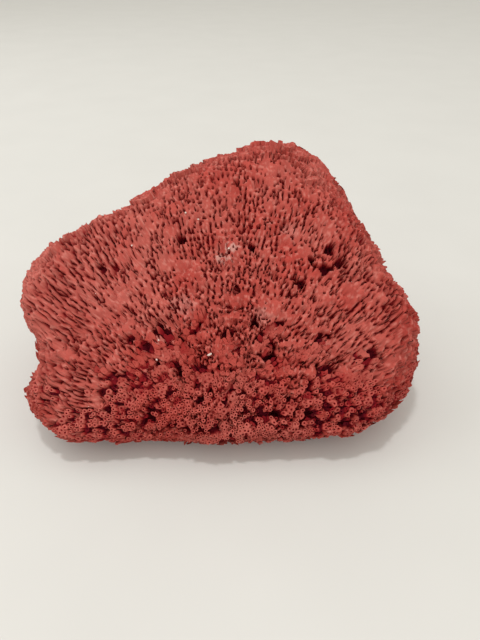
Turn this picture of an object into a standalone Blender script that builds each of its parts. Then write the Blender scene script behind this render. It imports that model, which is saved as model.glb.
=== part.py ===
"""Organ pipe coral (Tubipora musica): the dry skeleton of one colony, as one solid cut flat at its foot.

The colony is one grown piece, so it is one object. It is a lobed dome that grew outwards from a point
low in its middle, with a worn face sloping down to the front, and an underside drawn in to a flat foot.
The solid's skin runs through the tips of the coral's tubes. Blender units are metres, +Z is up, the foot
stands on Z = 0 and the origin is the middle of the object's box, on the ground.
"""

import math

import bmesh
import bpy
from mathutils import Vector, noise

MM = 0.001

# Where the colony started to grow, measured from the ground up. All reaches below are measured from here.
GROWTH_CENTRE_HEIGHT = 18 * MM

# How far the unworn dome reaches from the growth centre, along each axis.
REACH_LEFT = 106 * MM
REACH_RIGHT = 92 * MM
REACH_BACK = 105 * MM
REACH_FRONT = 50 * MM
REACH_UP = 98 * MM

# The worn face: a slope that cuts off the front of the dome.
WORN_FACE_AZIMUTH = 268
WORN_FACE_ELEVATION = 43
WORN_FACE_DISTANCE = 36 * MM
WORN_FACE_EASING = 16 * MM

# Swellings and hollows: azimuth and elevation seen from the growth centre in degrees (azimuth 0 is +X
# and 90 is +Y), width in degrees, and height in metres, which is negative for a hollow.
LOBES = {
    "left_front_corner": (210, -3, 12, 17 * MM),
    "left_foot": (198, 2, 9, 3 * MM),
    "left_waist": (182, 8, 11, -7 * MM),
    "left_shoulder": (165, 23, 14, 10 * MM),
    "left_slope": (139, 42, 17, -9 * MM),
    "crown_back": (95, 50, 18, 5 * MM),
    "crown_left": (110, 44, 9, 4 * MM),
    "crown": (66, 46, 15, 14 * MM),
    "crest": (72, 55, 12, 4 * MM),
    "right_shoulder": (54, 48, 9, 3 * MM),
    "right_back_corner": (48, 24, 11, 5 * MM),
    "crown_right": (48, 38, 14, 5 * MM),
    "right_hollow": (6, 34, 9, -5 * MM),
    "right_flank": (6, 12, 13, 4 * MM),
    "right_front_corner": (325, -2, 14, 7 * MM),
    "back_left_lobe": (128, 12, 17, 6 * MM),
    "back_hollow": (98, 14, 11, -8 * MM),
    "back_right_lobe": (70, 10, 15, 5 * MM),
}

# The cleft between the two lobes on the left, as an arc from its mouth to where it fades out.
CLEFT_MOUTH = (184, 1)
CLEFT_END = (198, 40)
CLEFT_WIDTH = 4.5
CLEFT_DEPTH = 7 * MM

# The bumps of the skin: the size of a bump and its height, for a broad and a fine set.
BROAD_BUMPS = (26 * MM, 2.2 * MM)
FINE_BUMPS = (9 * MM, 0.9 * MM)
BUMP_OFFSET = Vector((3.1, 7.4, 1.9))

# Below the rim the sides are drawn in to the foot, which is this share of the width at the rim.
RIM_HEIGHT = 20 * MM
FOOT_SHARE = 0.68

# A corner of the skin this close to the cut is moved onto it, which leaves no slivers there.
SNAP_TO_CUT = 1 * MM

# The ball that the skin is shaped from is a cube cut into a grid and blown round.
GRID_CUTS = 28

SKELETON_RED = (0.40, 0.074, 0.056, 1.0)


def direction(azimuth, elevation):
    """The unit vector that points this way, with both angles in degrees."""
    a = math.radians(azimuth)
    e = math.radians(elevation)
    return Vector((math.cos(e) * math.cos(a), math.cos(e) * math.sin(a), math.sin(e)))


def hump(along, centre, width):
    """1 on the centre direction, falling away round it over this width in degrees."""
    angle = math.degrees(math.acos(max(-1.0, min(1.0, along.dot(centre)))))
    return math.exp(-((angle / width) ** 2))


def eased_minimum(a, b, easing):
    """The smaller of a and b, with the corner between them rounded."""
    share = max(0.0, min(1.0, 0.5 + 0.5 * (b - a) / easing))
    return b * (1 - share) + a * share - easing * share * (1 - share)


def dome_reach(along):
    """How far the unworn dome reaches from the growth centre in this direction."""
    side = REACH_LEFT if along.x < 0 else REACH_RIGHT
    depth = REACH_FRONT if along.y < 0 else REACH_BACK
    stretch = (along.x / side) ** 2 + (along.y / depth) ** 2 + (along.z / REACH_UP) ** 2
    reach = 1 / math.sqrt(stretch)
    for azimuth, elevation, width, height in LOBES.values():
        reach += height * hump(along, direction(azimuth, elevation), width)
    return reach


def worn_reach(along, reach):
    """The dome's reach where the worn face leaves it, or the face's own."""
    facing = along.dot(direction(WORN_FACE_AZIMUTH, WORN_FACE_ELEVATION))
    if facing < 0.05:
        return reach
    return eased_minimum(reach, WORN_FACE_DISTANCE / facing, WORN_FACE_EASING)


def cleft_depth(along):
    """How deep the cleft is here: full at its mouth and nothing at its end."""
    mouth = direction(*CLEFT_MOUTH)
    arc = direction(*CLEFT_END) - mouth
    share = max(0.0, min(1.0, (along - mouth).dot(arc) / arc.length_squared))
    nearest = (mouth + arc * share).normalized()
    return CLEFT_DEPTH * (1 - share**2) * hump(along, nearest, CLEFT_WIDTH)


def bumps(point):
    """The skin's bumps at a point, in metres."""
    total = 0.0
    for size, height in (BROAD_BUMPS, FINE_BUMPS):
        total += height * noise.noise(point / size + BUMP_OFFSET)
    return total


def skin_point(along):
    """The point of the skin in this direction, with the ground at Z = 0."""
    reach = worn_reach(along, dome_reach(along)) - cleft_depth(along)
    reach += bumps(along * reach)
    point = along * reach
    point.z += GROWTH_CENTRE_HEIGHT
    share = max(-1.0, min(1.0, point.z / RIM_HEIGHT))
    drawn_in = FOOT_SHARE + (1 - FOOT_SHARE) * math.sin(share * math.pi / 2)
    return Vector((point.x * drawn_in, point.y * drawn_in, point.z))


def cut_flat(bm):
    """Cuts the solid off at the ground and closes the cut with one flat face."""
    everything = bm.verts[:] + bm.edges[:] + bm.faces[:]
    bmesh.ops.bisect_plane(
        bm,
        geom=everything,
        dist=SNAP_TO_CUT,
        use_snap_center=True,
        plane_co=(0, 0, 0),
        plane_no=(0, 0, -1),
        clear_outer=True,
    )
    rim = [edge for edge in bm.edges if edge.is_boundary]
    bmesh.ops.contextual_create(bm, geom=rim)


def centre_on_origin(bm):
    """Moves the solid along the ground so that the middle of its box is over the origin."""
    low = Vector([min(v.co[axis] for v in bm.verts) for axis in range(3)])
    high = Vector([max(v.co[axis] for v in bm.verts) for axis in range(3)])
    middle = (low + high) / 2
    bmesh.ops.translate(bm, vec=(-middle.x, -middle.y, -low.z), verts=bm.verts)


def skeleton_material():
    """Dry coral skeleton: chalky and without shine."""
    material = bpy.data.materials.new("coral_skeleton")
    material.use_nodes = True
    shader = material.node_tree.nodes["Principled BSDF"]
    shader.inputs["Base Color"].default_value = SKELETON_RED
    shader.inputs["Roughness"].default_value = 0.85
    shader.inputs["Metallic"].default_value = 0.0
    material.diffuse_color = SKELETON_RED
    return material


def make_colony():
    """The whole colony as one closed solid."""
    bm = bmesh.new()
    bmesh.ops.create_cube(bm, size=2.0)
    bmesh.ops.subdivide_edges(bm, edges=bm.edges[:], cuts=GRID_CUTS, use_grid_fill=True)
    for vertex in bm.verts:
        # The tangent spaces the grid evenly once it is round.
        spread = Vector([math.tan(side * math.pi / 4) for side in vertex.co])
        vertex.co = skin_point(spread.normalized())
    cut_flat(bm)
    centre_on_origin(bm)
    bmesh.ops.recalc_face_normals(bm, faces=bm.faces[:])
    mesh = bpy.data.meshes.new("coral_colony")
    bm.to_mesh(mesh)
    bm.free()
    colony = bpy.data.objects.new("coral_colony", mesh)
    bpy.context.scene.collection.objects.link(colony)
    mesh.materials.append(skeleton_material())
    mesh.shade_smooth()
    mesh.set_sharp_from_angle(angle=math.radians(50))
    return colony


def main():
    for leftover in list(bpy.data.objects):
        bpy.data.objects.remove(leftover, do_unlink=True)
    make_colony()


main()
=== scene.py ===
"""Organ pipe coral (Tubipora musica): the looks of one dry colony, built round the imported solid.

The solid's skin runs through the tips of the colony's tubes. Here that skin gives way to what it stands
for. Tubes fan out from under the cut foot, thin plates tie them every few millimetres, and a packed mass
closes the view further in. Over most of the front the tubes are worn down into one skin, which shows
their sides with rows of gaps between them, and low in front is the web between their mouths. A few chips
of bleached calcite are stuck on it. Blender units are metres.
"""

import itertools
import math

import bpy
import numpy as np
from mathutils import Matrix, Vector, noise
from mathutils.bvhtree import BVHTree
from mathutils.geometry import delaunay_2d_cdt
from mathutils.kdtree import KDTree


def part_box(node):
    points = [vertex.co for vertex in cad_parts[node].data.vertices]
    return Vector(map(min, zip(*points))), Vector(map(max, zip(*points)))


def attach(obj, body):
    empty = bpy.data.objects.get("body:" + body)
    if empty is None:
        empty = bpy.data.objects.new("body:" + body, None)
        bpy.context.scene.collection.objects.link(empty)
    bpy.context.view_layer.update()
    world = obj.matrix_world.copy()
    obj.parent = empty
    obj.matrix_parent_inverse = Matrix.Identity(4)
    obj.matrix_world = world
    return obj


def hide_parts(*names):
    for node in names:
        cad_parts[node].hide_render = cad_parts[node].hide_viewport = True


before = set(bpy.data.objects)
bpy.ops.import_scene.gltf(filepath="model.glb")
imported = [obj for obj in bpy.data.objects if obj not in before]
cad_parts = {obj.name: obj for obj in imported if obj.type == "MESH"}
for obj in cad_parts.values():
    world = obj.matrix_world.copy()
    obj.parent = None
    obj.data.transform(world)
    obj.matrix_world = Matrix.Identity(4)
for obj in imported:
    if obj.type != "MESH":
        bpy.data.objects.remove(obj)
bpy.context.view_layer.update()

MM = 0.001
NODE = "coral_colony"
BODY = "root"
LAYOUT = "OFBake"

# A point low inside the colony, as a share of its box, that every part of its skin is in sight of.
HEART_SHARE = np.array((0.523, 0.306, 0.156))

# Where the tubes fan out from, under the ground where the colony was cut off, as a share of its box.
FAN_SHARE = np.array((0.523, 0.232, -0.07))

# How many places are tried for tubes, how close two tubes stand at the least, and how much closer they
# are packed low in front, as a share of that.
TRIED = 500000
CLOSEST = 1.896 * MM
PACKED_CLOSER = 0.26

# Neighbouring tubes farther apart than this aren't tied, and plates tie the others at this pitch.
LONGEST_TIE = 5.04 * MM
PITCH = 4.3 * MM

# A tube's outer radius where it stands free, and the most it grows to where it is fused to neighbours.
FREE_WALL = 0.83 * MM
FUSED_MOST = 1.75 * MM

# The radius and depth of its bore.
BORE = 0.32 * MM
BORE_DEPTH = 1.8 * MM

# How far a collar reaches over and under the top of its plate, and where it meets the free wall again.
COLLAR_OVER = 0.5 * MM
COLLAR_UNDER = 1.3 * MM
COLLAR_END = 1.8 * MM

# How thick a plate is, and how far its outer edge stands out past the axes of the outermost tubes.
PLATE = 1.3 * MM
PLATE_EDGE = 0.7 * MM

# Which way the worn face looks, as azimuth and elevation in degrees.
WORN_FACE = (268, 45)

# The grid of one half of the worn skin: how many strips it has from side to side and from front to back.
SKIN_STRIPS = (400, 320)

# Where the skin is most worn, in the middle of its face.
MOST_WORN = (276, 50)

# The direction from the heart in the lower front that the tubes of the worn skin run away from. The skin
# starts and ends this many degrees from it, and reaches from right to left this far round it.
SKIN_POLE = (268, -12)
SKIN_FROM_POLE = (4, 160)
SKIN_ROUND_POLE = (-15, 195)

# How far it is from one row of gaps in the worn skin to the next.
ROW_PITCH = 3.0 * MM

# How deep it is in a pit from one ledge to the next, in mm.
PIT_LEDGE = 1.6

# How many lots are drawn for the gaps: a prime number, so that neighbours seldom share one.
LOTS = 4093

# From this share of wear on, the tubes are worn down into the skin. Elsewhere they may stand out past it by
# this much.
CLOSED = 0.6
SPARED = 1.3 * MM

# Tubes whose tips are no higher than this are cut off at the foot.
FOOT_HEIGHT = 0.4 * MM

# The steepest slant at which a tube is worn off.
STEEPEST_CUT = 2.2

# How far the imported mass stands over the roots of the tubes, and how far it draws back under the skin.
MASS_OVER_ROOTS = 0.6 * MM
MASS_UNDER_SKIN = 6 * MM

# How far a chip of calcite stands out from the skin, from one side of the lump to the other.
CHIP_HEIGHT = 0.8 * MM

# The sizes of the patterns: faded patches and grains of the calcite, and the table's mottle and grain.
FADED_PATCH = 20 * MM
CALCITE_GRAIN = 0.5 * MM
CHIP_GRAIN = 0.556 * MM
TABLE_MOTTLE = 71.4 * MM
TABLE_GRAIN = 0.714 * MM

# The calcite's colours: open to the light, in the gaps as its own unfaded red and painted shade,
# in the pits as darker painted shade, on broken rims, bleached, and in chips.
FRESH = "#A4382F"
FADED = "#AF5046"
GAP_RED_AND_PAINTED_SHADE = "#86131A"
PIT_PAINTED_SHADE = "#5A101C"
RIM = "#D58A7E"
BLEACH = "#CFB0A6"
CHIP = "#DDD3CB"

TABLE_GREY = "#CBCAC7"
TABLE_PALE = "#D1D0CD"
STUDIO_WHITE = "#F2EFE6"

# Each light's width in metres, its power in watts and its place.
LIGHTS = {
    "key": (0.22, 11.4, (-0.19, 0.0, 2.06)),
    "fill": (1.4, 4.6, (-1.1, 0.35, 0.95)),
    "front_fill": (1.0, 3.3, (0.1, -1.15, 0.8)),
}
SURROUND = 0.95

# The camera stands here and looks down this many degrees. Its lens and sensor are in mm.
CAMERA_PLACE = (0.010, -0.240, 0.2006)
CAMERA_DOWN = 36
CAMERA_LENS = 30.2
CAMERA_SENSOR = 36

# Where each mesh of joined tubes has its middle. Here and below, azimuth and elevation are seen from the
# heart.
REGIONS = {
    "face_tubes_left": (230, 10),
    "face_tubes_right": (305, 10),
    "crown_tubes": (90, 55),
    "left_flank_tubes": (180, 15),
    "right_flank_tubes": (0, 15),
    "back_tubes_left": (125, 15),
    "back_tubes_right": (60, 15),
    "foot_tubes": (0, -90),
}

# Pits broken into the colony: azimuth, elevation, width and depth in mm.
PITS = {
    "big_pit": (3, 52, 4.4, 6.5),
    "big_pit_left": (355, 58, 3.6, 6),
    "big_pit_right": (8, 57, 3.6, 6),
    "deep_hole": (316, 84, 3.2, 11),
    "face_pit": (256, 25, 2.6, 7),
    "face_pit_high": (256, 39, 2.4, 6),
    "face_cavity": (298, 10, 5, 8),
    "face_slot": (296, 19, 3, 6),
    "left_pit": (232, 32, 3, 6),
    "foot_notch": (263, 3, 4, 6),
    "right_cavity": (312, 8, 5, 7),
    "right_cavity_end": (321, 3, 4, 6),
    "shoulder_pit": (5, 49, 3, 6),
    "shoulder_pit_right": (11, 53, 3, 6),
    "brow_pit": (41, 77, 2.6, 6),
    "brow_pit_front": (313, 65, 3, 5),
    "mid_pit": (308, 42, 3, 6),
    "mid_pit_low": (306, 54, 3, 5),
    "left_crown_pit": (175, 43, 3, 5),
    "left_crown_pit_back": (150, 69, 3, 5),
}

# Places that grew over smooth: azimuth, elevation, width in mm and how far, from 0 to 1.
SMOOTH_PLATES = {
    "crown_plate": (169, 72, 5.5, 1),
    "crown_plate_low": (167, 63, 5, 1),
    "left_plate": (186, 42, 5.5, 1),
    "brow_plate": (311, 80, 5, 1),
    "right_plate": (355, 41, 6, 1),
    "right_plate_low": (332, 20, 5, 1),
    "middle_plate": (263, 54, 5, 1),
    "middle_plate_right": (303, 51, 4.5, 1),
    "face_plate_right": (302, 33, 4.5, 1),
    "face_lump": (274, 19, 4, 1),
    "face_lump_left": (252, 27, 4, 1),
}

# Patches bleached by the sun or crusted with lime: the same.
BLEACHED = {
    "crust_left": (115, 83, 2.4, 0.4),
    "crust_right": (82, 81, 2.2, 0.45),
    "pale_patch_left": (203, 63, 6.5, 0.17),
    "pale_patch_right": (324, 65, 5.5, 0.14),
    "pale_patch_low": (210, 41, 5, 0.14),
    "pale_crown_right": (28, 65, 5, 0.12),
}

# Chips of bleached calcite stuck on the colony: azimuth, elevation, length and width in mm.
CHIPS = {
    "face_chip": (250, 48, 2.6, 1.1),
    "left_chip": (217, 32, 1.1, 0.9),
    "left_chip_high": (210, 41, 1.0, 0.8),
    "crown_chip_left": (133, 69, 1.2, 0.9),
    "crown_chip_mid": (126, 72, 1.1, 0.8),
    "shoulder_chip": (165, 54, 1.0, 0.8),
    "crust_chip": (88, 82, 1.3, 1.0),
}

low, high = (np.array(corner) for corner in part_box(NODE))
heart = low + HEART_SHARE * (high - low)
fan = low + FAN_SHARE * (high - low)


# --- directions and reaches


def unit(vectors):
    """The same vectors at length 1."""
    return vectors / np.linalg.norm(vectors, axis=-1, keepdims=True)


def towards(azimuth, elevation):
    """The direction at these angles in degrees, with azimuth 0 along +X and 90 along +Y."""
    a = np.radians(azimuth)
    e = np.radians(elevation)
    return np.stack([np.cos(e) * np.cos(a), np.cos(e) * np.sin(a), np.sin(e)], -1)


def ease(values, start, end):
    """0 up to start, 1 from end on, and smooth between them."""
    share = np.clip((values - start) / (end - start), 0, 1)
    return share * share * (3 - 2 * share)


def ripple(points, size, seed):
    """Smooth noise round 0 at each point, with bumps of this size and seldom past 0.6 either way."""
    offset = Vector((seed * 7.13, seed * 3.71, seed * 5.37))
    return np.array([noise.noise(Vector(p) / size + offset) for p in points])


def points_of(mesh):
    """The mesh's points, as rows."""
    return np.array([point.co[:] for point in mesh.vertices])


def corners_of(mesh):
    """The points that each face of the mesh has at its corners, as rows."""
    return np.array([face.vertices[:] for face in mesh.polygons])


def skin_table():
    """How far the skin is from the heart, at each whole degree of elevation and azimuth."""
    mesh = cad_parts[NODE].data
    tree = BVHTree.FromPolygons(points_of(mesh).tolist(), corners_of(mesh).tolist())
    azimuth, elevation = np.meshgrid(np.arange(360), np.arange(-90, 91))
    lines = towards(azimuth, elevation).reshape(-1, 3)
    start = Vector(heart)
    reaches = [tree.ray_cast(start, Vector(line))[3] for line in lines]
    return np.array(reaches).reshape(azimuth.shape)


SKIN = skin_table()


def skin_reach(lines):
    """How far the skin is from the heart along these lines."""
    azimuth = np.degrees(np.arctan2(lines[:, 1], lines[:, 0])) % 360
    elevation = np.degrees(np.arcsin(np.clip(lines[:, 2], -1, 1))) + 90
    column = np.floor(azimuth).astype(int) % 360
    row = np.clip(np.floor(elevation).astype(int), 0, 179)
    across = azimuth - np.floor(azimuth)
    up = elevation - row
    beside = (column + 1) % 360
    lower = SKIN[row, column] * (1 - across) + SKIN[row, beside] * across
    upper = SKIN[row + 1, column] * (1 - across) + SKIN[row + 1, beside] * across
    return lower * (1 - up) + upper * up


def on_skin(lines):
    """The points where these lines from the heart meet the skin."""
    return heart + lines * skin_reach(lines)[:, None]


def gaps_to(place, points):
    """How far these points are from the place on the skin at this azimuth and elevation, in mm."""
    return np.linalg.norm(points - on_skin(towards(*place)[None]), axis=1) / MM


def most_of(places, points, rough, core, rim):
    """The most that any of these named places gives each point, where a place gives its own last value.

    It gives the whole value as far as its core and none past its rim, which are shares of its width. Rough
    is what makes its outline uneven, in mm.
    """
    most = np.zeros(len(points))
    for azimuth, elevation, width, value in places.values():
        gaps = gaps_to((azimuth, elevation), points) + rough
        most = np.maximum(most, value * (1 - ease(gaps, core * width, rim * width)))
    return most


def crosswise(rays):
    """Two directions at right angles to each ray and to each other."""
    slanting = (0.31, 0.22, 0.925)
    first = unit(np.cross(rays, slanting))
    return first, np.cross(rays, first)


def worn_share(lines):
    """1 on the worn face in front and 0 round the back, for these lines from the heart."""
    return ease(lines @ towards(*WORN_FACE), -0.2, 0.35)


def on_worn(lines):
    """The points where these lines meet the skin as it is now, worn down unevenly in front."""
    grown = on_skin(lines)
    broad = ripple(grown, 12 * MM, 1)
    fine = ripple(grown, 4.5 * MM, 2)
    flaked = ease(ripple(grown, 3.2 * MM, 6), 0.25, 0.4)
    lost = np.clip(2.2 * broad + 1.2 * fine + 1.4 * flaked, -1.5, None) * MM
    return grown - lines * (lost * worn_share(lines))[:, None]


def normals_of(surface, lines, step=0.012):
    """The outward normals of a surface where these lines from the heart meet it."""
    first, second = crosswise(lines)
    here = surface(lines)
    ahead = surface(unit(lines + first * step)) - here
    aside = surface(unit(lines + second * step)) - here
    normals = unit(np.cross(ahead, aside))
    return normals * np.sign((normals * lines).sum(1))[:, None]


def worn_flat(points):
    """The points, with those past the worn skin moved back onto it, and how deep under it each is."""
    away = points - heart
    lines = unit(away)
    reach = np.linalg.norm(away, axis=1)
    worn = np.linalg.norm(on_worn(lines) - heart, axis=1)
    spared = 1 - worn_share(lines) * upper_share(points)
    reach = np.minimum(reach, worn + SPARED * spared)
    return heart + lines * reach[:, None], worn - reach


def upper_share(points):
    """0 low down, where the tubes point outwards, and 1 higher up, where they lie along the face."""
    return ease(points[:, 2], 26 * MM, 50 * MM)


def lying_share(points):
    """1 where the tubes lie along the skin, and 0 low down in front, where they meet it head-on."""
    aside = ease(-points[:, 0], 30 * MM, 80 * MM) + ease(points[:, 0], 50 * MM, 95 * MM)
    height = points[:, 2] + 26 * MM * aside + 22 * MM * ripple(points, 10 * MM, 16)
    return ease(height, 40 * MM, 56 * MM)


def closed_share(lines):
    """1 where wear has left a nearly closed skin, and 0 where the tubes stand free."""
    return worn_share(lines) * lying_share(on_skin(lines))


def web_share(points):
    """1 low down in front, where a web ties the mouths of the tubes, and 0 higher up."""
    return 1 - ease(lying_share(points), 0.35, 0.6)


def web_depths(points):
    """How far in the web lies, in mm: unevenly all over, and in cavities where it is broken away."""
    uneven = 1.1 * ripple(points, 6 * MM, 8)
    broken = ripple(points, 3.6 * MM, 30) + 0.4 * ripple(points, 9 * MM, 31)
    broken += 0.1 * ease(points[:, 0], 0, 50 * MM)
    return uneven, 4.5 * ease(broken, 0.03, 0.19)


def plate_levels(points):
    """Which plate each point is at, counted from the fan's centre, and the share of the way to the next.

    The plates are shells round that centre, drawn in at the sides and a little wavy.
    """
    shell = np.linalg.norm((points - fan) * (0.75, 1, 1), axis=1)
    wave = 5 * MM * ripple(points, 34 * MM, 4) + 2.2 * MM * ripple(points, 13 * MM, 5)
    return (shell + wave) / PITCH


def tube_rays(points):
    """Which way the tube at each point of the skin grows.

    High up the tubes fan out from one place. Lower down they stand more nearly side by side across the
    front, and just over the foot they turn outwards.
    """
    away = points - fan
    height = points[:, 2]
    side_by_side = 0.25 + 0.6 * ease(height, 5 * MM, 55 * MM)
    fanned = unit(away * np.stack([side_by_side, np.ones(len(points)), np.ones(len(points))], 1))
    low_down = 1 - ease(height, 0, 22 * MM)
    return unit(fanned + low_down[:, None] * 1.5 * unit(points - heart))


def tree_of(points):
    """A search tree of these points."""
    tree = KDTree(len(points))
    for i, point in enumerate(points):
        tree.insert(point, i)
    tree.balance()
    return tree


def side_gaps(gaps, rays):
    """How far apart tubes stand, measured at right angles to them, from the gaps between their tips."""
    along = (gaps * rays).sum(-1)
    return np.sqrt(np.clip((gaps**2).sum(-1) - along**2, 0, None))


# --- where the tubes stand


def scatter(rng):
    """Lines from the heart to the tips of tubes, with room round each at right angles to its ray."""
    lines = unit(rng.normal(size=(TRIED, 3)))
    reach = skin_reach(lines)
    kept = rng.random(len(lines)) < (reach / reach.max()) ** 2
    lines = lines[kept]
    points = on_skin(lines)
    rays = tube_rays(points)
    facing = np.abs((normals_of(on_skin, lines) * rays).sum(1))
    packed = (1 - upper_share(points)) * worn_share(lines)
    closest = CLOSEST * (1 - PACKED_CLOSER * packed)
    tree = tree_of(points)
    free = np.ones(len(lines), bool)
    chosen = []
    for i, point in enumerate(points):
        if free[i]:
            chosen.append(i)
            about = closest[i] / max(facing[i], 0.22)
            near = np.array([j for _, j, _ in tree.find_range(point, about)])
            free[near[side_gaps(points[near] - point, rays[i]) < closest[i]]] = False
    return lines[chosen]


def joined_threes(lines, points, rays):
    """Threes of neighbouring tubes, as rows of indices, left out where they stand too far apart."""
    flat = lines[:, :2] / (1 + lines[:, 2:])
    found = delaunay_2d_cdt([Vector(p) for p in flat], [], [], 0, 0)
    threes = np.array([face for face in found[2] if len(face) == 3])
    order = np.array([ids[0] for ids in found[3]])
    threes = order[threes]
    longest = np.zeros(len(threes))
    for a, b in ((0, 1), (1, 2), (2, 0)):
        start, end = threes[:, a], threes[:, b]
        longest = np.maximum(longest, side_gaps(points[start] - points[end], rays[start]))
    threes = threes[longest < LONGEST_TIE]
    corner = lines[threes]
    turn = np.cross(corner[:, 1] - corner[:, 0], corner[:, 2] - corner[:, 0])
    inward = (turn * corner[:, 0]).sum(1) < 0
    threes[inward] = threes[inward][:, ::-1]
    return threes


class Colony:
    """What is known of every tube. Reaches run along a tube's ray from its start, deep in the colony."""

    def __init__(self, rng):
        self.lines = scatter(rng)
        self.count = len(self.lines)
        self.tips_grown = on_skin(self.lines)
        self.rays = tube_rays(self.tips_grown)
        self.normals = normals_of(on_worn, self.lines)
        self.foot = self.tips_grown[:, 2] < FOOT_HEIGHT
        self.worn = worn_share(self.lines)
        self.upper = upper_share(self.tips_grown)
        self.closed = closed_share(self.lines) > CLOSED

        # A tube that climbs slantwise through the plates meets them at a longer pitch.
        away = (self.tips_grown - fan) * (0.75, 1, 1)
        climb = (away * (0.75, 1, 1) * self.rays).sum(1) / np.linalg.norm(away, axis=1)
        self.pitch = PITCH / np.clip(climb, 0.5, None)
        self.skin = plate_levels(self.tips_grown) * self.pitch
        self.starts = self.tips_grown - self.rays * self.skin[:, None]

        self.threes = joined_threes(self.lines, self.tips_grown, self.rays)
        self.near = self.linked()
        self.beside = np.array([(near * 10)[:10] for near in self.near])
        self.tips, self.snapped, self.pitted = self.broken_tips(rng)
        self.top = np.floor((self.tips - 0.05 * MM) / self.pitch).astype(int)
        lowest = np.array([min(self.level(j) for j in near) for near in self.near])
        own = self.tips / self.pitch
        self.bottom = np.floor(np.minimum(lowest, own)).astype(int)
        self.bottom = np.clip(self.bottom, self.top - 3, self.top)
        self.roots = (self.bottom - 1) * self.pitch - 0.2 * MM

    def level(self, i):
        """The level that a tube's tip is at."""
        return self.tips[i] / self.pitch[i]

    def linked(self):
        """The tubes that each tube shares a three with, or the tube itself where it has none."""
        near = [set() for _ in range(self.count)]
        for a, b, c in self.threes.tolist():
            near[a] |= {b, c}
            near[b] |= {a, c}
            near[c] |= {a, b}
        return [sorted(found) or [i] for i, found in enumerate(near)]

    def at(self, tubes, reaches):
        """The points of these tubes' axes at these reaches."""
        return self.starts[tubes] + self.rays[tubes] * reaches[..., None]

    def room(self, tubes, outward):
        """How far each tube can grow in these directions before it meets a neighbour halfway."""
        gaps = self.tips_grown[self.beside[tubes]] - self.tips_grown[tubes][:, None]
        along = (gaps * self.rays[tubes][:, None]).sum(2)
        apart = np.maximum((gaps**2).sum(2) - along**2, 1e-12)
        towards_them = np.einsum("nki,nvi->nvk", gaps, outward)
        halfway = apart[:, None] / (2 * np.maximum(towards_them, 1e-9))
        return np.minimum(halfway.min(2), FUSED_MOST)

    def fused(self, tubes, reaches, ends, tied):
        """How far the tubes are fused to their neighbours: 1, fully, at a plate or where they grew over."""
        level = reaches / self.pitch[tubes][:, None]
        plate = np.floor(level)
        over = (level - plate) * PITCH
        nearest = np.where(over > 0.5 * PITCH, plate + 1, plate).astype(int)
        in_collar = 1 - ease(over, COLLAR_OVER, COLLAR_OVER + 0.4 * MM) * (
            1 - ease(over, PITCH - COLLAR_END, PITCH - COLLAR_UNDER)
        )
        held = tied[tubes[:, None], np.clip(nearest, 0, tied.shape[1] - 1)]
        flat = ends.reshape(-1, 3)
        patches = 0.8 * ripple(flat, 7 * MM, 7) + 1.1 * ripple(flat, 1.9 * MM, 9)
        start = -0.06 - 0.12 * self.upper[tubes][:, None]
        grown_over = ease((patches + smooth_share(flat)).reshape(reaches.shape), start, start + 0.12)
        return in_collar * held + (1 - in_collar) * grown_over

    def broken_tips(self, rng):
        """How far each tube reaches, which ones snapped off at a plate, and which ones end in a pit."""
        tips_grown = self.tips_grown
        fine = ripple(tips_grown, 4.5 * MM, 2)
        own = rng.random(self.count)
        worn_off = ((tips_grown - on_worn(self.lines)) * self.normals).sum(1)
        webbed = web_share(tips_grown) * self.worn
        uneven_web, cavity = web_depths(tips_grown)
        worn_off += (0.15 * own + webbed * (0.25 * own + uneven_web)) * MM
        worn_off += webbed * cavity * 0.9 * rng.random(self.count) * MM
        uneven = (-0.4 + 2 * fine + 0.6 * own) * (1 - self.worn) * MM
        facing = np.clip((self.normals * self.rays).sum(1), 0.25, 1)
        tips = self.skin - (worn_off + uneven) / facing

        # Round the back a tube ends flush with a plate more often than not, and in front seldom.
        flush = (0.6 + 1.1 * ripple(tips_grown, 8 * MM, 3)) * (1 - 0.85 * self.worn)
        level = tips / self.pitch
        above = level - np.floor(level)
        to_plate = np.where(above > 0.8, np.ceil(level), np.floor(level)) * self.pitch
        snapped = rng.random(self.count) < flush
        tips = np.where(snapped, to_plate + (0.08 + 0.2 * rng.random(self.count)) * MM, tips)

        stub = rng.random(self.count) < 0.03 + 0.05 * webbed
        tips -= stub * (1 + 3 * rng.random(self.count)) * MM
        unpitted = tips.copy()
        for azimuth, elevation, width, depth in PITS.values():
            gaps = gaps_to((azimuth, elevation), tips_grown) + 2 * fine + 0.6 * own
            tips -= depth / facing * MM * (1 - ease(gaps, 0.45 * width, 0.75 * width))
        pitted = tips < unpitted - 0.3 * MM
        return np.where(self.foot, self.skin, tips), snapped, pitted


# --- plates


def plate_threes(colony, rng):
    """Which threes of tubes each level's plate ties: the top of the colony and two levels under it."""
    threes = colony.threes
    top = colony.top[threes].min(1)
    bottom = np.maximum(colony.bottom[threes].min(1), top - 2)
    middle = colony.tips_grown[threes].mean(1)
    firm = 0.46 + 0.2 * colony.upper[threes].mean(1) + 0.15 * (1 - colony.worn[threes].mean(1))
    under_skin = colony.closed[threes].all(1)
    plates = []
    for level in range(bottom.min(), top.max() + 1):
        kept = (bottom <= level) & (level <= top) & ~under_skin
        weak = ripple(middle[kept], 5 * MM, 10 + level) + 0.45 * rng.random(kept.sum())
        kept[kept] = weak < firm[kept]
        plates.append((level, threes[kept]))
    return plates


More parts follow.
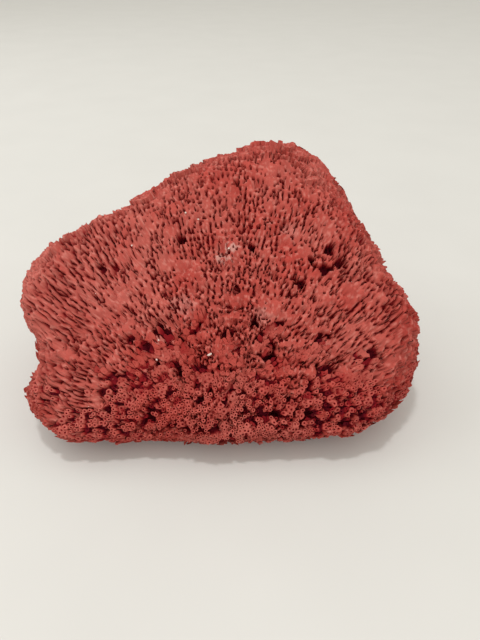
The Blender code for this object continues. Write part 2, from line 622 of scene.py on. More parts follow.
def plate_sheet(colony, plates):
    """All the plates as one thin mesh through the tubes' axes, before they get their thickness."""
    points, faces, spots, depths = [], [], [], []
    cells = math.ceil(math.sqrt(len(plates)))
    margin = 5 * MM
    outward = colony.normals - colony.rays * (colony.normals * colony.rays).sum(1)[:, None]
    outward /= np.maximum(np.linalg.norm(outward, axis=1, keepdims=True), 0.2)
    for number, (level, threes) in enumerate(plates):
        used, corners = np.unique(threes, return_inverse=True)
        reach = level * colony.pitch[used]
        places = colony.at(used, reach)
        edges = np.sort(threes[:, [0, 1, 1, 2, 2, 0]].reshape(-1, 2), axis=1)
        pairs, uses = np.unique(edges, axis=0, return_counts=True)
        on_edge = np.isin(used, pairs[uses == 1])
        places = places + outward[used] * (PLATE_EDGE * on_edge)[:, None]
        faces.append(corners.reshape(-1, 3) + sum(len(p) for p in points))
        flat, under = worn_flat(places)
        points.append(flat)
        depths.append(under / MM)
        seen_from_above = (flat[:, :2] - low[:2] + margin) / (high[:2] - low[:2] + 2 * margin)
        spots.append((seen_from_above + (number % cells, number // cells)) / cells)
    return tuple(np.concatenate(part) for part in (points, faces, depths, spots))


# --- meshes


def new_object(name, mesh):
    """A new object with this mesh, at the origin."""
    piece = bpy.data.objects.new(name, mesh)
    bpy.context.scene.collection.objects.link(piece)
    return piece


def named_piece(name):
    """The primitive that was just added, with its own name and that of its flat layout."""
    piece = bpy.context.object
    piece.name = name
    piece.data.name = name
    piece.data.uv_layers[0].name = LAYOUT
    return piece


def joined_mesh(name, points, corners, starts):
    """A mesh from its points, the points at its faces' corners, and where each face's corners start."""
    mesh = bpy.data.meshes.new(name)
    mesh.vertices.add(len(points))
    mesh.vertices.foreach_set("co", points.astype(np.float32).ravel())
    mesh.loops.add(len(corners))
    mesh.loops.foreach_set("vertex_index", corners.astype(np.int32))
    mesh.polygons.add(len(starts))
    mesh.polygons.foreach_set("loop_start", starts.astype(np.int32))
    mesh.update(calc_edges=True)
    mesh.shade_smooth()
    mesh.set_sharp_from_angle(angle=math.radians(50))
    return mesh


def lay_out(mesh, spots):
    """Gives the mesh its flat layout for textures, one spot for each face corner."""
    mesh.uv_layers.new(name=LAYOUT).data.foreach_set("uv", spots.astype(np.float32).ravel())


def set_values(mesh, name, values):
    """Keeps one value for each point of the mesh, for a material to read."""
    mesh.attributes.new(name, "FLOAT", "POINT").data.foreach_set("value", values.astype(np.float32))


def move_points(mesh, points):
    """Moves the mesh's points to these places."""
    mesh.vertices.foreach_set("co", points.astype(np.float32).ravel())
    mesh.update()


def ring_heights(roots, plates, tips):
    """The heights of each tube's rings, from its root up the wall, over the rim and down the bore."""
    heights = [roots]
    for plate in plates.T:
        heights += [plate - COLLAR_END, plate - COLLAR_UNDER, plate + COLLAR_OVER]
    heights += [tips - 0.06 * MM, tips, tips - 0.05 * MM, tips - BORE_DEPTH]
    return np.stack(heights, 1)


def tube_blank(sides, joints):
    """One straight tube with this many collars, modelled once for every tube to be copied from.

    Its own sizes are a start: a copy's rings are moved to where its tube has them.
    """
    plates = np.arange(joints)[None] * PITCH
    tips = np.array([(joints - 0.4) * PITCH])
    heights = ring_heights(np.array([-1.05 * PITCH]), plates, tips)[0]
    collar = 1.3 * FREE_WALL
    rim = [FREE_WALL, 0.5 * (FREE_WALL + BORE), BORE, 0.9 * BORE]
    radii = np.array([FREE_WALL] + [FREE_WALL, collar, collar] * joints + rim)
    bpy.ops.object.select_all(action="DESELECT")
    bpy.ops.mesh.primitive_circle_add(
        vertices=sides, radius=radii[0], fill_type="NGON", location=(0, 0, heights[0])
    )
    bpy.ops.object.transform_apply()
    bpy.ops.object.mode_set(mode="EDIT")
    bpy.ops.mesh.select_all(action="SELECT")
    for ring in range(1, len(heights)):
        rise = heights[ring] - heights[ring - 1]
        grow = radii[ring] / radii[ring - 1]
        bpy.ops.mesh.extrude_region_move(TRANSFORM_OT_translate={"value": (0, 0, rise)})
        bpy.ops.transform.resize(value=(grow, grow, 1))
    bpy.ops.mesh.select_all(action="SELECT")
    bpy.ops.mesh.normals_make_consistent(inside=False)
    bpy.ops.object.mode_set(mode="OBJECT")
    return bpy.context.object, heights, radii


def rings_of(blank, heights, radii):
    """Which ring of the blank each of its points is on, and where round it, as an angle."""
    points = points_of(blank.data)
    off = np.hypot(points[:, 0], points[:, 1])[:, None] - radii
    ring = (off**2 + (points[:, 2:] - heights) ** 2).argmin(1)
    return ring, np.arctan2(points[:, 1], points[:, 0])


def cut_slopes(colony, chosen):
    """How the ends of these tubes slant: along the worn skin, or level where they snapped at a plate."""
    rays = colony.rays[chosen]
    normals = colony.normals[chosen]
    facing = (normals * rays).sum(1)[:, None]
    slopes = (facing * rays - normals) / np.clip(facing, 0.15, None)
    level = colony.snapped[chosen] & ~colony.foot[chosen]
    slopes *= np.where(level, 0.1, 1.0)[:, None]
    steepness = np.linalg.norm(slopes, axis=1)
    return slopes * np.minimum(1, STEEPEST_CUT / np.maximum(steepness, 1e-6))[:, None]


def fit_tubes(colony, chosen, ring, angle, tied, rng):
    """The points of a copy of the blank for each chosen tube, moved to where this tube has its rings.

    The last four rings are the lip, the top of the rim, the mouth of the bore and its bottom. With the
    points come their values for the material: how deep they are, which the material turns into painted
    shade in the gaps and bores, how pale, and their tint.
    """
    lip, rim, mouth, bottom = range(ring.max() - 3, ring.max() + 1)
    joints = (lip - 1) // 3
    count = len(chosen)
    rays = colony.rays[chosen][:, None]
    starts = colony.starts[chosen][:, None]
    first, second = crosswise(rays)
    turned = (angle + rng.uniform(0, math.tau, (count, 1)))[..., None]
    outward = first * np.cos(turned) + second * np.sin(turned)
    lean = (outward * cut_slopes(colony, chosen)[:, None]).sum(2)

    levels = colony.top[chosen][:, None] - np.arange(joints)[::-1]
    tips = colony.tips[chosen]
    plates = levels * colony.pitch[chosen][:, None]
    planned = ring_heights(colony.roots[chosen], plates, tips)[:, ring]
    sunk = np.clip(mouth - ring, 0, None) * 0.06 * MM
    at_rim = (ring >= lip) & (ring < bottom)

    def reach_at(radius):
        """How far along its ray each point is when it is this far out, cut off by the slanted end."""
        tilt = lean * radius
        return np.where(at_rim, planned + tilt, np.minimum(planned, tips[:, None] + tilt - sunk))

    room = colony.room(chosen, outward)
    ends = starts + rays * (tips[:, None] + lean * room)[..., None] + outward * room[..., None]
    fused = colony.fused(chosen, reach_at(room), ends, tied)
    size = rng.uniform(0.93, 1.07, (count, 1)) * (1 + rng.normal(0, 0.04, (count, len(ring))))
    radius = size * (FREE_WALL + (1.3 * room - FREE_WALL) * fused)
    grown_shut = colony.upper[chosen] * colony.worn[chosen] * (0.4 + 0.6 * rng.random(count))
    openness = np.clip(1.15 - 1.3 * grown_shut, 0.1, 1)[:, None]
    bore = BORE * openness
    radius = np.where(ring == rim, 0.5 * (radius + bore), radius)
    radius = np.where(ring == mouth, bore, radius)
    radius = np.where(ring == bottom, 0.9 * bore, radius)
    reach = reach_at(radius) + rng.normal(0, 0.03 * MM, radius.shape) * at_rim

    points = (starts + rays * reach[..., None] + outward * radius[..., None]).reshape(-1, 3)
    points, under = worn_flat(points)
    points[:, 2] = np.clip(points[:, 2], 0, None)
    # Painted shade: depth under the skin darkens the walls, and each open bore's mouth and bottom get extra
    # depth, so they are painted dark.
    bore_painted_shade = openness * (2.5 * (ring == mouth) + 6.0 * (ring == bottom))
    depth = np.maximum(under.reshape(reach.shape) / MM, bore_painted_shade)
    pale = 0.45 * (ring == rim) * (1 - colony.upper[chosen])[:, None]
    tint = np.broadcast_to(rng.uniform(-1, 1, (count, 1)), depth.shape)
    return points, depth.ravel(), pale.ravel(), tint.ravel()


def blank_faces(blank, ring, angle):
    """The points at the blank's face corners, where each face's corners start, and its flat layout."""
    corners = np.empty(len(blank.data.loops), int)
    blank.data.loops.foreach_get("vertex_index", corners)
    starts = np.empty(len(blank.data.polygons), int)
    blank.data.polygons.foreach_get("loop_start", starts)
    round_it = (angle / math.tau + 0.001)[corners] % 1
    for face in blank.data.polygons:
        own = slice(face.loop_start, face.loop_start + face.loop_total)
        if face.loop_total == 4 and np.ptp(round_it[own]) > 0.5:
            round_it[own] += round_it[own] < 0.5
    layout = np.stack([round_it, ring[corners] / ring.max()], 1)
    return corners, starts, 0.06 + 0.88 * layout / layout.max(0)


def tube_kinds(colony):
    """How many sides each tube has, and how many collars: more of both where its wall shows in front."""
    in_front = (colony.worn > 0.4) & ~colony.foot
    along_the_face = in_front & (colony.upper > 0.4) & ~colony.snapped
    sides = np.where(along_the_face, 9, np.where(in_front, 7, 5))
    joints = np.clip(colony.top - colony.bottom + 1, 1, np.where(in_front, 2, 1))
    joints[along_the_face & ~colony.pitted] = 1
    joints[colony.foot | (colony.worn < 0.15)] = 0
    return sides, joints


def regions_of(colony):
    """The number of the region that each tube is in."""
    middles = np.array([towards(*place) for place in REGIONS.values()])
    regions = (colony.lines @ middles.T).argmax(1)
    regions[colony.foot] = list(REGIONS).index("foot_tubes")
    return regions


def ties_of(colony, plates):
    """How much of the way round each tube is tied at each level's plate, from 0 to 1."""
    tied = np.zeros((colony.count, colony.top.max() + 2))
    threes_about = np.bincount(colony.threes.ravel(), minlength=colony.count)
    for level, threes in plates:
        threes_tied = np.bincount(threes.ravel(), minlength=colony.count)
        tied[:, level] = threes_tied / np.maximum(threes_about, 1)
    return tied


def build_tubes(colony, plates, rng):
    """The tubes, as one joined mesh for each region of the colony."""
    tied = ties_of(colony, plates)
    sides, joints = tube_kinds(colony)
    regions = regions_of(colony)
    parts = {name: [] for name in REGIONS}
    for side_count, joint_count in itertools.product((5, 7, 9), (0, 1, 2)):
        kind = (sides == side_count) & (joints == joint_count) & ~colony.closed
        if kind.any():
            blank, heights, radii = tube_blank(side_count, joint_count)
            ring, angle = rings_of(blank, heights, radii)
            faces = blank_faces(blank, ring, angle)
            for number, name in enumerate(REGIONS):
                chosen = np.flatnonzero(kind & (regions == number))
                if len(chosen):
                    fitted = fit_tubes(colony, chosen, ring, angle, tied, rng)
                    parts[name].append((fitted, faces, len(ring), len(chosen)))
            bpy.data.objects.remove(blank)
    return [join_copies(name, copies) for name, copies in parts.items()]


def join_copies(name, copies):
    """One object from sets of fitted copies."""
    points, corners, starts, spots, values = [], [], [], [], [[], [], []]
    cells = math.ceil(math.sqrt(sum(count for *_, count in copies)))
    done = points_done = corners_done = 0
    for (places, *material_values), (blank_corners, blank_starts, layout), size, count in copies:
        number = np.arange(count)[:, None]
        cell = np.stack([(number + done) % cells, (number + done) // cells], 2)
        spots.append(((cell + layout) / cells).reshape(-1, 2))
        corners.append((blank_corners + number * size).ravel() + points_done)
        starts.append((blank_starts + number * len(blank_corners)).ravel() + corners_done)
        points.append(places)
        for kept, more in zip(values, material_values):
            kept.append(more)
        done += count
        points_done += len(places)
        corners_done += count * len(blank_corners)
    mesh = joined_mesh(name, *(np.concatenate(part) for part in (points, corners, starts)))
    lay_out(mesh, np.concatenate(spots))
    for label, kept in zip(("depth", "pale", "tint"), values):
        set_values(mesh, label, np.concatenate(kept))
    return new_object(name, mesh)


def build_plates(colony, plates):
    """The plates between the tubes, with their thickness under the level that collars meet them at."""
    points, faces, depths, spots = plate_sheet(colony, plates)
    points[:, 2] = np.clip(points[:, 2], PLATE, None)
    mesh = joined_mesh("tie_plates", points, faces.ravel(), np.arange(len(faces)) * 3)
    lay_out(mesh, spots[faces.ravel()])
    # The depth under the worn skin paints deeper plates darker: partly unfaded red, partly painted shade.
    set_values(mesh, "depth", depths)
    set_values(mesh, "pale", np.zeros(len(points)))
    set_values(mesh, "tint", 1.6 * ripple(points, 6 * MM, 60))
    piece = new_object("tie_plates", mesh)
    solidify = piece.modifiers.new("thickness", "SOLIDIFY")
    solidify.thickness = PLATE
    solidify.offset = -1
    apply_modifiers(piece)
    return piece


def grid_lines(across, along):
    """Lines from the heart for a grid laid along the tubes.

    Across runs from the right over the top to the left, and along from the lower front to the back, both
    from 0 to 1. The rows are evenly spaced where they cross the middle of the colony.
    """
    pole = towards(*SKIN_POLE)
    left = unit(np.cross(pole, (0, 0, 1)))
    up = np.cross(left, pole)
    nearest, farthest = SKIN_FROM_POLE
    angles = np.arange(nearest, farthest + 1)
    middle = [np.cos(a) * pole + np.sin(a) * up for a in np.radians(angles)]
    steps = np.linalg.norm(np.diff(on_skin(np.array(middle)), axis=0), axis=1)
    walked = np.concatenate([[0], np.cumsum(steps)])
    down = np.radians(np.interp(along * walked[-1], walked, angles))[:, None]
    starts_at, ends_at = SKIN_ROUND_POLE
    turn = np.radians(starts_at + (ends_at - starts_at) * across)[:, None]
    return np.cos(down) * pole + np.sin(down) * (np.sin(turn) * up - np.cos(turn) * left)


def pit_depths(points):
    """How deep the named pits are at these points of the skin, in mm, with a ledge every so often."""
    rough = 2.4 * ripple(points, 2.2 * MM, 11) + 0.8 * ripple(points, 5 * MM, 2)
    ledges = most_of(PITS, points, rough, 0.42, 0.75) / PIT_LEDGE
    whole = np.floor(ledges)
    return PIT_LEDGE * (whole + ease(ledges - whole, 0.6, 1))


def smooth_share(points):
    """1 in the middle of the named smooth plates and 0 away from them."""
    return most_of(SMOOTH_PLATES, points, 1.2 * ripple(points, 3 * MM, 19), 0.7, 1)


def bleached_share(points):
    """How far the named patches are bleached at these points, from 0 to 1."""
    rough = 5 * ripple(points, 1.4 * MM, 20) + 2 * ripple(points, 5 * MM, 21)
    return most_of(BLEACHED, points, rough, 0.4, 1)


class SkinGaps:
    """The gaps and mouths of the worn skin, at these of its points. Depths and distances are in mm."""

    def __init__(self, colony, points, normals, rng):
        self.points = points
        self.tubes, self.far, away = nearest_tubes(colony, tree_of(colony.tips_grown), points)
        sideways = unit(np.cross(normals, tube_rays(points)))
        self.border, self.sideways = borders(1, away, self.far, normals, sideways)
        self.border += 0.25 * ripple(points, 1.2 * MM, 40)
        self.corner, _ = borders(2, away, self.far, normals, sideways)
        rows = gaps_to(SKIN_POLE, points) * MM / ROW_PITCH
        rows += 1.4 * ripple(points, 34 * MM, 4) + 0.8 * ripple(points, 13 * MM, 5)
        self.row = np.floor(rows).astype(int)
        self.over = rows - self.row

        # A tube, two tubes side by side or three together have lots of their own in each row.
        self.lots = rng.random((3, LOTS))
        self.own = (self.tubes[:, 0] * 13 + 7 * self.row) % LOTS
        self.pair = (self.tubes[:, 0] * self.tubes[:, 1] + 17 * self.row) % LOTS
        self.trio = (self.tubes.sum(1) * 31 + 7 * self.row) % LOTS

        self.patches = ripple(points, 9 * MM, 7)
        self.middle = ease(unit(points - heart) @ towards(*MOST_WORN), 0.8, 0.94)
        self.smooth = smooth_share(points)
        self.aside = ease(np.abs(points[:, 0]), 45 * MM, 75 * MM)
        self.web = web_share(points)

    def slots(self):
        """Slots between two tubes, over part of a row: wider at the sides, and rarer in the middle."""
        right = ease(self.points[:, 0], 5 * MM, 40 * MM)
        likely = 0.74 - 0.38 * self.middle + 0.15 * self.aside - 0.12 * right
        likely += 0.8 * self.patches - 1.2 * self.smooth
        is_open = ease(likely - self.lots[0, self.pair], 0, 0.06) * ease(self.sideways, 0.4, 0.6)
        width = 0.22 + 0.16 * self.aside + 0.06 * (1 - self.middle) + 0.26 * self.lots[1, self.pair]
        start = 0.08 + 0.2 * self.lots[2, self.pair]
        end = 0.6 - 0.16 * self.middle + 0.16 * self.lots[1, self.pair]
        length = ease(self.over, start, start + 0.09) * (1 - ease(self.over, end, end + 0.09))
        return 2.5 * (1 - ease(self.border, width, width + 0.2)) * length * is_open * (1 - self.web)

    def holes(self):
        """Wider holes where three tubes meet, more common in the middle."""
        wide = 0.3 + 0.8 * self.lots[0, self.trio] ** 2
        likely = 0.2 + 0.3 * self.middle + 0.15 * self.web + 0.5 * self.patches - self.smooth
        shape = 1 - ease(np.hypot(self.border, self.corner), wide, wide + 0.25)
        return 2.8 * shape * (self.lots[1, self.trio] < likely)

    def mouths(self):
        """The mouths of tubes: all of them in the web, and higher up now and then one in its row."""
        in_web = 2.2 * (1 - ease(self.far[:, 0], 0.4, 0.75)) * self.web
        from_plate = np.abs(self.over - 0.9) * ROW_PITCH / MM
        is_open = self.lots[1, self.own] < 0.45 + 0.3 * self.middle
        shape = 1 - ease(np.hypot(self.far[:, 0], from_plate), 0.4, 0.8)
        higher_up = 2.2 * shape * is_open * (1 - self.web) * (1 - self.smooth)
        return np.maximum(in_web, higher_up)

    def cavities(self):
        """Places where the web is broken away."""
        return web_depths(self.points)[1] * self.web * (1 - self.smooth)

    def depths(self):
        """How deep the skin is open at each point."""
        return np.max([self.slots(), self.holes(), self.mouths(), self.cavities()], 0)

    def backs(self):
        """How far the tubes' backs are rounded down to the border, and worn lower tube by tube."""
        rounded = (0.2 + 0.3 * self.aside) * (1 - ease(self.border, 0, 0.8))
        return rounded + (0.1 + 0.8 * self.aside) * self.lots[2, self.own] ** 2 * (1 - self.web)


def nearest_tubes(colony, tree, points):
    """The three tubes nearest to each point, how far their axes are in mm, and the ways from them."""
    near = np.array([[j for _, j, _ in tree.find_n(point, 20)] for point in points])
    rays = colony.rays[near]
    away = points[:, None] - colony.tips_grown[near]
    away -= rays * (away * rays).sum(2)[..., None]
    far = np.linalg.norm(away, axis=2)
    order = np.argsort(far, axis=1)[:, :3]
    far = np.take_along_axis(far, order, 1) / MM
    return np.take_along_axis(near, order, 1), far, np.take_along_axis(away, order[..., None], 1)


def borders(other, away, far, normals, sideways):
    """How far along the skin each point is from halfway to another tube, in mm, and how sideways."""
    between = away[:, 0] - away[:, other]
    apart = np.linalg.norm(between, axis=1)
    between /= apart[:, None]
    level = between - normals * (between * normals).sum(1)[:, None]
    flat = np.linalg.norm(level, axis=1)
    border = (far[:, other] ** 2 - far[:, 0] ** 2) / (2 * apart / MM)
    return border / np.maximum(flat, 0.2), np.abs((level * sideways).sum(1))


def ledge_depths(points, normals):
    """How far in the skin is stepped at these points, in mm: at the plates, and unevenly in the web."""
    web = web_share(points)
    facing = (normals * tube_rays(points)).sum(1)
    wave = 1.0 * ripple(points, 16 * MM, 15) + 0.25 * ripple(points, 4 * MM, 18)
    steps = (plate_levels(points) + wave) % 1
    ledges = (0.6 * steps * PITCH / MM - 1.0) * ease(facing, 0.5, 0.8)
    ledges *= ease(ripple(points, 24 * MM, 17), -0.25, 0.1) * (1 - web)
    return ledges + web * (0.55 + web_depths(points)[0])


def skin_lines(mesh, from_share, to_share):
    """The lines from the heart that the points of this flat grid stand for."""
    spots = points_of(mesh)
    return grid_lines(from_share + (to_share - from_share) * spots[:, 0], spots[:, 1])


def skin_blank(name, from_share, to_share):
    """A flat grid for this part of the worn skin, cut to where the colony is worn."""
    bpy.ops.object.select_all(action="DESELECT")
    bpy.ops.mesh.primitive_grid_add(
        x_subdivisions=SKIN_STRIPS[0], y_subdivisions=SKIN_STRIPS[1], size=1, location=(0.5, 0.5, 0)
    )
    bpy.ops.object.transform_apply()
    piece = named_piece(name)
    mesh = piece.data
    lines = skin_lines(mesh, from_share, to_share)
    shown = (worn_share(lines) > 0.3) & (on_skin(lines)[:, 2] > 0.8 * MM)
    bpy.ops.object.mode_set(mode="EDIT")
    bpy.ops.mesh.select_mode(type="FACE")
    bpy.ops.mesh.select_all(action="DESELECT")
    bpy.ops.object.mode_set(mode="OBJECT")
    mesh.polygons.foreach_set("select", ~shown[corners_of(mesh)].any(1))
    bpy.ops.object.mode_set(mode="EDIT")
    bpy.ops.mesh.delete(type="FACE")
    bpy.ops.object.mode_set(mode="OBJECT")
    return piece


def shape_skin(colony, mesh, lines):
    """Lays the flat grid on the colony, sinks its pits, ledges and gaps, and keeps its values."""
    points = on_worn(lines)
    normals = normals_of(on_skin, lines)
    pits = pit_depths(points)
    points -= normals * ((pits + ledge_depths(points, normals)) * MM)[:, None]
    gaps = SkinGaps(colony, points, normals, np.random.default_rng(5))
    depths = gaps.depths()
    sunk = 5 * (1 - ease(worn_share(lines), 0.35, 0.55))
    rough = 0.2 * ripple(points, 0.9 * MM, 12) + 0.5 * ripple(points, 2.3 * MM, 23)
    points -= normals * ((depths + gaps.backs() + sunk + rough) * MM)[:, None]
    points[:, 2] = np.clip(points[:, 2], 0.5 * MM, None)
    move_points(mesh, points)
    # The depth paints the gaps, pits and sunk edges darker: partly their own unfaded red, partly painted
    # shade.
    set_values(mesh, "depth", depths + 0.8 * pits + 0.25 * sunk)
    # Painted light: the skin is paler towards the left and higher up, as if lit more strongly there.
    pale_wear_and_painted_light = 0.35 * ease(-points[:, 0], 0, 60 * MM) * ease(points[:, 2], 20 * MM, 60 * MM)
    set_values(mesh, "pale", 1.2 * ease(ripple(points, 1.3 * MM, 13), 0.1, 0.5) + pale_wear_and_painted_light)
    set_values(mesh, "bleached", bleached_share(points))
    tints = np.random.default_rng(11).uniform(-1, 1, colony.count)
    set_values(mesh, "tint", tints[gaps.tubes[:, 0]] + 0.8 * ripple(points, 1.5 * MM, 14))
    mesh.shade_smooth()
    mesh.set_sharp_from_angle(angle=math.radians(80))


def close_rim():
    """Draws the rim of the skin in hand together inside the colony, so that the skin is closed."""
    bpy.ops.object.mode_set(mode="EDIT")
    bpy.ops.mesh.select_mode(type="EDGE")
    bpy.ops.mesh.select_all(action="DESELECT")
    bpy.ops.mesh.select_non_manifold()
    bpy.ops.mesh.mark_sharp()
    bpy.ops.mesh.extrude_region_move(TRANSFORM_OT_translate={"value": (0, 0, -2 * MM)})
    bpy.ops.mesh.merge(type="CENTER")
    bpy.ops.mesh.select_all(action="SELECT")
    bpy.ops.mesh.normals_make_consistent(inside=False)
    bpy.ops.object.mode_set(mode="OBJECT")


def build_worn_skin(colony, name, from_share, to_share):
    """One half of the worn skin: a grid laid over the colony, its gaps sunk in it and its rim closed."""
    piece = skin_blank(name, from_share, to_share)
    shape_skin(colony, piece.data, skin_lines(piece.data, from_share, to_share))
    close_rim()
    return piece


def apply_modifiers(piece):
    """Applies all of the piece's modifiers, as the Apply command does."""
    bpy.ops.object.select_all(action="DESELECT")
    piece.select_set(True)
    bpy.context.view_layer.objects.active = piece
    for modifier in list(piece.modifiers):
        bpy.ops.object.modifier_apply(modifier=modifier.name)


def build_chips(rng):
    """Chips of bleached calcite, each a small lump modelled once and copied to its place."""
    bpy.ops.object.select_all(action="DESELECT")
    bpy.ops.mesh.primitive_ico_sphere_add(subdivisions=2, radius=0.5, location=(0, 0, 0))
    blank = bpy.context.object
    shape = points_of(blank.data)
    corners = corners_of(blank.data)
    bpy.data.objects.remove(blank)
    lines = np.array([towards(azimuth, elevation) for azimuth, elevation, *_ in CHIPS.values()])
    points, faces = [], []
    for middle, line, side, up, place in zip(on_worn(lines), lines, *crosswise(lines), CHIPS.values()):
        length, width = place[2:]
        turn = rng.uniform(0, math.pi)
        along = side * math.cos(turn) + up * math.sin(turn)
        broken = shape * (1 + 0.35 * ripple(shape + middle / MM, 0.6, 22))[:, None]
        axes = np.stack([along * length * MM, np.cross(line, along) * width * MM, line * CHIP_HEIGHT])
        faces.append(corners + len(shape) * len(points))
        points.append(middle + broken @ axes)
    points, faces = np.concatenate(points), np.concatenate(faces)
    mesh = joined_mesh("bleached_chips", points, faces.ravel(), np.arange(len(faces)) * 3)
    return new_object("bleached_chips", mesh)


def build_mass(colony):
    """The closed mass inside, over the roots of the tubes, modelled as a ball and fitted to them."""
    bpy.ops.object.select_all(action="DESELECT")
    bpy.ops.mesh.primitive_ico_sphere_add(subdivisions=6, radius=1, location=(0, 0, 0))
    piece = named_piece("packed_mass")
    rays = unit(points_of(piece.data))
    roots = colony.at(np.arange(colony.count), colony.roots) - heart
    tree = tree_of(unit(roots))
    near = np.array([[j for _, j, _ in tree.find_n(ray, 5)] for ray in rays])
    reach = np.linalg.norm(roots, axis=1)[near].mean(1) + MASS_OVER_ROOTS
    reach -= MASS_UNDER_SKIN * closed_share(rays)
    points = heart + rays * reach[:, None]
    points += rays * (0.8 * MM * ripple(points, 3 * MM, 70))[:, None]
    points[:, 2] = np.clip(points[:, 2], 1.2 * MM, None)
    move_points(piece.data, points)
    # Painted shade: the whole mass gets a depth of 5 mm, so it takes the darkest pit colour.
    set_values(piece.data, "depth", np.full(len(points), 5.0))
    piece.data.shade_smooth()
    return piece


# --- materials


def paint(code):
    """A material's colour from its sRGB hex code, in linear light."""
    parts = [int(code[i : i + 2], 16) / 255 for i in (1, 3, 5)]
    return [p / 12.92 if p <= 0.04045 else ((p + 0.055) / 1.055) ** 2.4 for p in parts] + [1.0]


def set_inputs(tree, node, inputs):
    """Sets or links these inputs of a node."""
    for name, value in inputs.items():
        if isinstance(value, bpy.types.NodeSocket):
            tree.links.new(value, node.inputs[name])
        else:
            node.inputs[name].default_value = value


def add_node(tree, kind, output, inputs, **settings):
    """Adds a node with its inputs and settings, and gives this one of its outputs."""
    node = tree.nodes.new("ShaderNode" + kind)
    for name, value in settings.items():
        setattr(node, name, value)
    set_inputs(tree, node, inputs)
    return node.outputs[output]


def new_material(name):
    """A new material, its node tree, its shader, and the place on the object that its patterns read."""
    material = bpy.data.materials.new(name)
    material.use_nodes = True
    tree = material.node_tree
    place = add_node(tree, "TexCoord", "Object", {})
    return material, tree, tree.nodes["Principled BSDF"], place


def skeleton_calcite():
    """Dry coral calcite, grown in the sea and dusty with age.

    To the eye it is chalky and without shine: brick red where it is open to the light, paled to pink in
    patches and on broken rims, and lighter on the upper left of the worn skin as painted light. Down in
    the gaps it is deep crimson, partly its own unfaded red and partly painted shade, and painted shade is
    darkest in the pits, the bores and the packed mass.
    """
    material, tree, shader, place = new_material("tube_calcite_weathered_painted_shade")
    depth, pale, tint, bleached = (
        add_node(tree, "Attribute", "Fac", {}, attribute_name=name)
        for name in ("depth", "pale", "tint", "bleached")
    )

    # Patches of it are faded, and others are fresh.
    inputs = {"Vector": place, "Scale": 1 / FADED_PATCH, "Detail": 3.0, "Roughness": 0.55}
    patches = add_node(tree, "TexNoise", "Fac", inputs)
    patches = add_node(tree, "MapRange", "Result", {"Value": patches, "From Min": 0.35, "From Max": 0.65})
    shown = add_node(tree, "Mix", 2, {0: patches, 6: paint(FRESH), 7: paint(FADED)}, data_type="RGBA")

    # Each tube is a little lighter or darker than its neighbours, and so is each grain.
    inputs = {"Value": tint, "From Min": -1.0, "To Min": 0.90, "To Max": 1.10}
    tube_shade = add_node(tree, "MapRange", "Result", inputs)
    inputs = {"Vector": place, "Scale": 1 / CALCITE_GRAIN, "Detail": 2.0, "Roughness": 0.6}
    grain = add_node(tree, "TexNoise", "Fac", inputs)
    inputs = {"Value": grain, "From Min": 0.3, "From Max": 0.7, "To Min": 0.88, "To Max": 1.1}
    grain_shade = add_node(tree, "MapRange", "Result", inputs)
    shade = add_node(tree, "Math", 0, {0: tube_shade, 1: grain_shade}, operation="MULTIPLY")
    shown = add_node(tree, "HueSaturation", "Color", {"Value": shade, "Color": shown})

    # Broken rims are worn pale, painted light pales the upper left of the worn skin, and a few patches are
    # bleached. The gaps are darker, partly their own unfaded red and partly painted shade, and painted
    # shade is darkest in the pits, the bores and the packed mass.
    pale_wear_and_painted_light = add_node(tree, "Math", 0, {0: pale, 1: 0.35}, operation="MULTIPLY")
    # The gap ramp mixes in the gap red with its painted shade, and the pit ramp the darker painted shade.
    inputs = {"Value": depth, "From Min": 0.4, "From Max": 2.8, "To Max": 0.95}
    gaps = add_node(tree, "MapRange", "Result", inputs, interpolation_type="SMOOTHSTEP")
    pits = add_node(tree, "MapRange", "Result", {"Value": depth, "From Min": 1.9, "From Max": 4.4})
    for share, code in ((pale_wear_and_painted_light, RIM), (bleached, BLEACH), (gaps, GAP_RED_AND_PAINTED_SHADE), (pits, PIT_PAINTED_SHADE)):
        shown = add_node(tree, "Mix", 2, {0: share, 6: shown, 7: paint(code)}, data_type="RGBA")

    # The grains stand out, and no light glances off the walls deep in the gaps.
    roughness = add_node(tree, "MapRange", "Result", {"Value": grain, "To Min": 0.72, "To Max": 0.95})
    relief = add_node(tree, "Bump", "Normal", {"Height": grain, "Strength": 0.5, "Distance": 0.1 * MM})
    gloss = add_node(tree, "MapRange", "Result", {"Value": gaps, "To Min": 0.3, "To Max": 0.02})
    finish = {"Base Color": shown, "Roughness": roughness, "Normal": relief, "Specular IOR Level": gloss}
    set_inputs(tree, shader, finish)
    return material


def bleached_calcite():
    """Chips of calcite bleached by sun and salt: chalk white with a faint pink, rough and without shine."""
    material, tree, shader, place = new_material("chip_calcite_bleached")
    grain = add_node(tree, "TexNoise", "Fac", {"Vector": place, "Scale": 1 / CHIP_GRAIN, "Detail": 2.0})
    colour = add_node(tree, "Mix", 2, {0: grain, 6: paint(CHIP), 7: paint(BLEACH)}, data_type="RGBA")
    relief = add_node(tree, "Bump", "Normal", {"Height": grain, "Strength": 0.5, "Distance": 0.1 * MM})
    set_inputs(tree, shader, {"Base Color": colour, "Roughness": 0.85, "Normal": relief})
    return material


def table_laminate():
    """White laminate pressed against a matt plate: pale, faintly mottled, with a fine even grain."""
    material, tree, shader, place = new_material("laminate_matt_pressed")
    mottle = add_node(tree, "TexNoise", "Fac", {"Vector": place, "Scale": 1 / TABLE_MOTTLE, "Detail": 2.0})
    inputs = {0: mottle, 6: paint(TABLE_GREY), 7: paint(TABLE_PALE)}
    colour = add_node(tree, "Mix", 2, inputs, data_type="RGBA")
    grain = add_node(tree, "TexNoise", "Fac", {"Vector": place, "Scale": 1 / TABLE_GRAIN, "Detail": 1.0})
    roughness = add_node(tree, "MapRange", "Result", {"Value": grain, "To Min": 0.5, "To Max": 0.62})
    relief = add_node(tree, "Bump", "Normal", {"Height": grain, "Strength": 0.15, "Distance": 0.05 * MM})
    set_inputs(tree, shader, {"Base Color": colour, "Roughness": roughness, "Normal": relief})
    return material


# --- stage


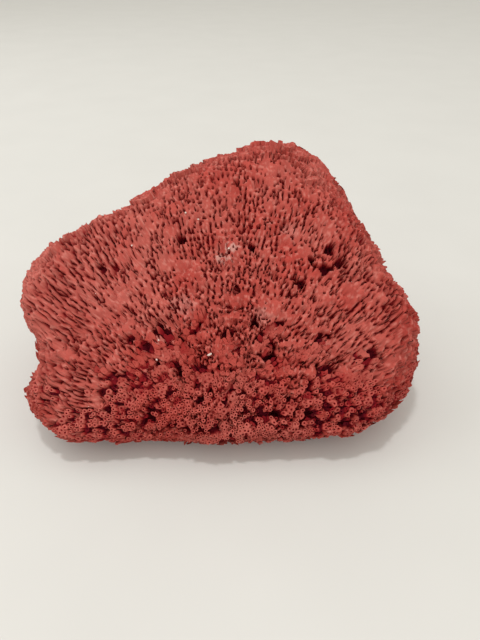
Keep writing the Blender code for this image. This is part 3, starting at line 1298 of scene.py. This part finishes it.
def build_floor():
    """A plain pale floor under the colony."""
    bpy.ops.object.select_all(action="DESELECT")
    bpy.ops.mesh.primitive_plane_add(size=6, location=(0, 0, 0))
    floor = bpy.context.object
    floor.name = "floor"
    floor.data.materials.append(table_laminate())


def build_lights():
    """A small key nearly overhead, broad fills on the left and in front, and an even pale surround."""
    for name, (width, watts, place) in LIGHTS.items():
        light = bpy.data.lights.new(name, "AREA")
        light.shape = "DISK"
        light.size = width
        light.energy = watts
        lamp = bpy.data.objects.new(name, light)
        lamp.location = place
        aim = Vector(heart) - Vector(place)
        lamp.rotation_euler = aim.to_track_quat("-Z", "Y").to_euler()
        bpy.context.scene.collection.objects.link(lamp)
    world = bpy.data.worlds.new("studio")
    bpy.context.scene.world = world
    world.use_nodes = True
    surround = {"Color": paint(STUDIO_WHITE), "Strength": SURROUND}
    set_inputs(world.node_tree, world.node_tree.nodes["Background"], surround)


def build_camera():
    """The camera, in front of the colony and looking down on it."""
    view = bpy.data.cameras.new("camera")
    view.lens = CAMERA_LENS
    view.sensor_width = CAMERA_SENSOR
    camera = bpy.data.objects.new("camera", view)
    camera.location = CAMERA_PLACE
    camera.rotation_euler = (math.radians(90 - CAMERA_DOWN), 0, 0)
    bpy.context.scene.collection.objects.link(camera)
    bpy.context.scene.camera = camera
    bpy.context.scene.view_settings.view_transform = "Standard"


def main():
    """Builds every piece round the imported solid, and then the stage."""
    rng = np.random.default_rng(7)
    colony = Colony(rng)
    plates = plate_threes(colony, rng)
    pieces = build_tubes(colony, plates, rng)
    pieces.append(build_plates(colony, plates))
    pieces.append(build_mass(colony))
    pieces.append(build_worn_skin(colony, "worn_skin_right", 0.0, 0.5))
    pieces.append(build_worn_skin(colony, "worn_skin_left", 0.5, 1.0))
    calcite = skeleton_calcite()
    for piece in pieces:
        piece.data.materials.append(calcite)
    chips = build_chips(rng)
    chips.data.materials.append(bleached_calcite())
    for piece in (*pieces, chips):
        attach(piece, BODY)
    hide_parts(NODE)
    build_floor()
    build_lights()
    build_camera()


main()
